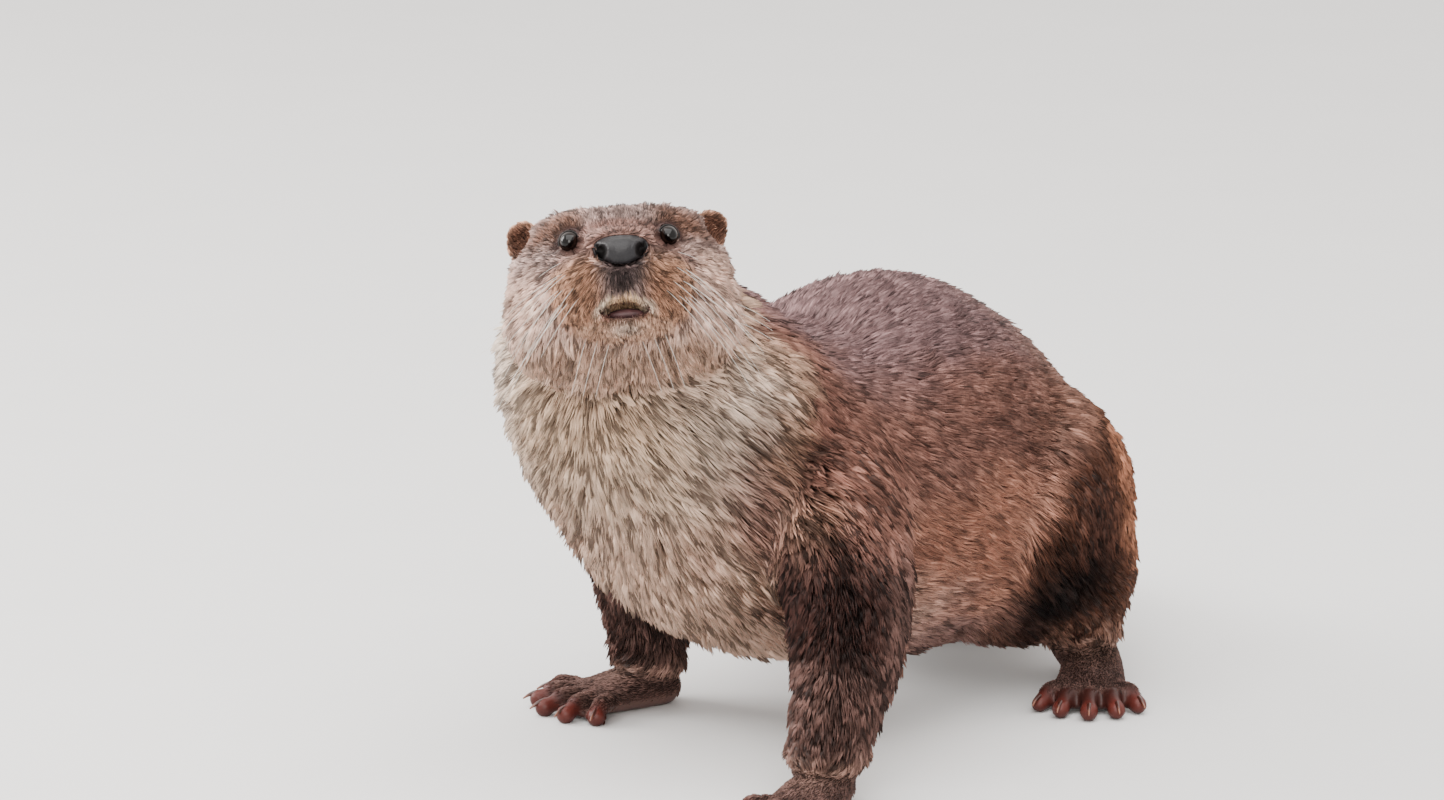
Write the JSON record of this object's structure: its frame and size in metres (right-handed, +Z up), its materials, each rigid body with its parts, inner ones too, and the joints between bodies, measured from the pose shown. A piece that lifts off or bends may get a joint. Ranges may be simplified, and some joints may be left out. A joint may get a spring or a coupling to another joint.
{
  "type": "eurasian otter, life-size still model",
  "caption": "Life-size Eurasian otter standing on all four feet, head raised and turned to its left, mouth slightly open, tail curled on the floor behind.",
  "frame": {"origin": "on the floor, at the middle of the bounding box's bottom face", "axes": "+Z up; the trunk lies along Y with the head at -Y and the rump at +Y; the otter's left side is at +X"},
  "size_m": [0.462, 0.6188, 0.3306],
  "materials": {
    "coat_brown": "dense brown fur, paler and greyer along the back",
    "coat_pale": "pale cream and beige fur in pointed tufts with dark gaps",
    "coat_dark": "short dark chocolate fur",
    "bare_skin": "bare dark pink-brown skin of the toes and webs, slightly moist",
    "nose_skin": "fine-grained moist slate-grey nose skin",
    "eye": "wet, near black",
    "claw": "translucent orange-pink horn"
  },
  "bodies": {
    "root": {"abdomen": "coat_brown", "chest": "coat_pale", "claw_forefoot_left_1": "claw", "claw_forefoot_left_2": "claw", "claw_forefoot_left_3": "claw", "claw_forefoot_left_4": "claw", "claw_forefoot_left_5": "claw", "claw_forefoot_right_1": "claw", "claw_forefoot_right_2": "claw", "claw_forefoot_right_3": "claw", "claw_forefoot_right_4": "claw", "claw_forefoot_right_5": "claw", "claw_hindfoot_left_1": "claw", "claw_hindfoot_left_2": "claw", "claw_hindfoot_left_3": "claw", "claw_hindfoot_left_4": "claw", "claw_hindfoot_left_5": "claw", "claw_hindfoot_right_1": "claw", "claw_hindfoot_right_2": "claw", "claw_hindfoot_right_3": "claw", "claw_hindfoot_right_4": "claw", "claw_hindfoot_right_5": "claw", "ear_left": "coat_brown", "ear_right": "coat_brown", "eye_left": "eye", "eye_right": "eye", "forefoot_left": "bare_skin", "forefoot_right": "bare_skin", "foreleg_left": "coat_dark", "foreleg_right": "coat_dark", "head": "coat_brown", "hindfoot_left": "bare_skin", "hindfoot_right": "bare_skin", "lower_jaw": "coat_pale", "lower_leg_left": "coat_dark", "lower_leg_right": "coat_dark", "neck": "coat_pale", "nose_pad": "nose_skin", "rump": "coat_brown", "tail_middle": "coat_brown", "tail_root": "coat_brown", "tail_tip": "coat_dark", "thigh_left": "coat_brown", "thigh_right": "coat_brown"}
  },
  "joints": []
}
